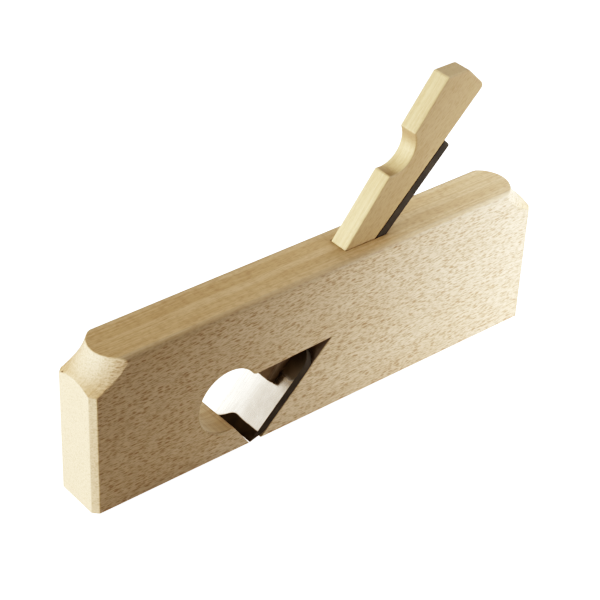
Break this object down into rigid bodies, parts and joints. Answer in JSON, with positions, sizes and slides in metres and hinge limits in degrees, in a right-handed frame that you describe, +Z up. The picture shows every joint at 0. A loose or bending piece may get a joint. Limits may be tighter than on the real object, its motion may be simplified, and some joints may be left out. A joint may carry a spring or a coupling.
{
  "type": "wooden rebate plane",
  "caption": "Narrow wooden rebate plane with a round shaving eye, a full-width bedded iron and a notched wedge.",
  "frame": {"origin": "middle of the sole, under the middle of the stock's length and width", "axes": "+X towards the heel, +Y across the stock, +Z up from the sole; the toe is at -X"},
  "size_m": [0.28, 0.03, 0.1626],
  "materials": {
    "stock_beech": "sanded steamed beech under a thin clear oil",
    "iron_steel": "dark hardening scale, ground and polished bright on the face near the edge",
    "wedge_beech": "sanded pale beech, bare"
  },
  "bodies": {
    "stock": {"stock": "stock_beech"},
    "iron": {"iron": "iron_steel"},
    "wedge": {"wedge": "wedge_beech"}
  },
  "joints": [
    {"name": "iron_slide", "type": "slide", "parent": "stock", "child": "iron", "axis": [0.7071, 0, 0.7071], "range_m": [-0.006, 0.006]},
    {"name": "wedge_slide", "type": "slide", "parent": "stock", "child": "wedge", "axis": [0.7071, 0, 0.7071], "range_m": [0, 0.078]}
  ]
}
